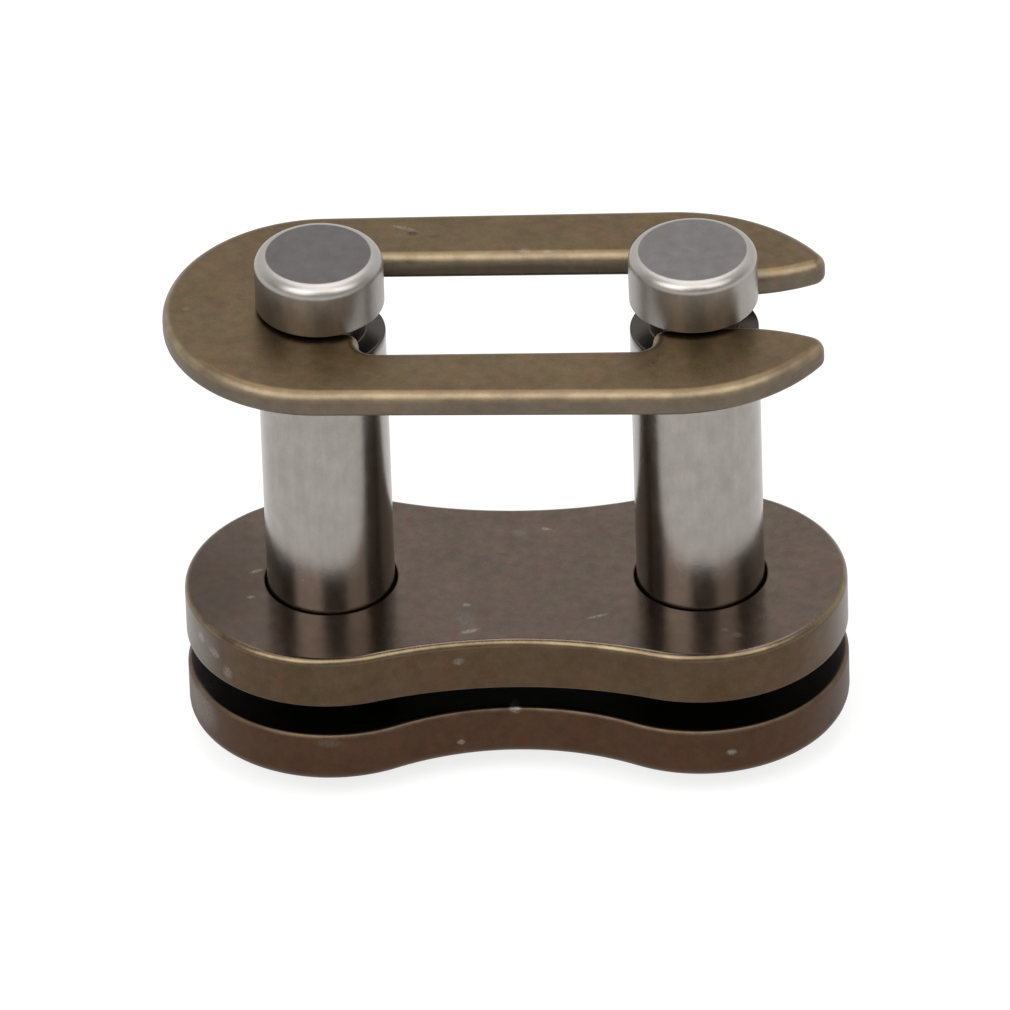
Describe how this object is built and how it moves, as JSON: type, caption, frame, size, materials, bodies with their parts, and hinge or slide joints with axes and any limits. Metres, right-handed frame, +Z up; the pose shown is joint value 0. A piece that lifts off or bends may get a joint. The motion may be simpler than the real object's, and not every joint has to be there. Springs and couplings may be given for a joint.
{
  "type": "roller chain connecting link",
  "caption": "Roller chain connecting link: a fixed plate with two riveted grooved pins, a sliding cover plate and an open spring clip.",
  "frame": {"origin": "midway between the two pins, in the plane of the rivet ends that the link stands on", "axes": "+X from the clip's closed end to its open end, +Y across the plates, +Z up the pins towards their free ends"},
  "size_m": [0.0116, 0.0056, 0.0097],
  "materials": {
    "fixed_plate": "dark red-brown oxide, satin",
    "pin_steel": "bare ground steel, satin",
    "cover_plate": "brown-grey oxide, satin",
    "spring_clip": "bronze-brown tempered, satin"
  },
  "bodies": {
    "pin_link": {"pin_plate": "fixed_plate", "left_pin": "pin_steel", "right_pin": "pin_steel"},
    "cover": {"cover_plate": "cover_plate"},
    "clip": {"spring_clip": "spring_clip"}
  },
  "joints": [
    {"name": "cover_slide", "type": "slide", "parent": "pin_link", "child": "cover", "axis": [0, 0, 1], "range_m": [-0.00058, 0.00518]},
    {"name": "clip_slide", "type": "slide", "parent": "pin_link", "child": "clip", "axis": [-1, 0, 0], "range_m": [0, 0.003]}
  ]
}
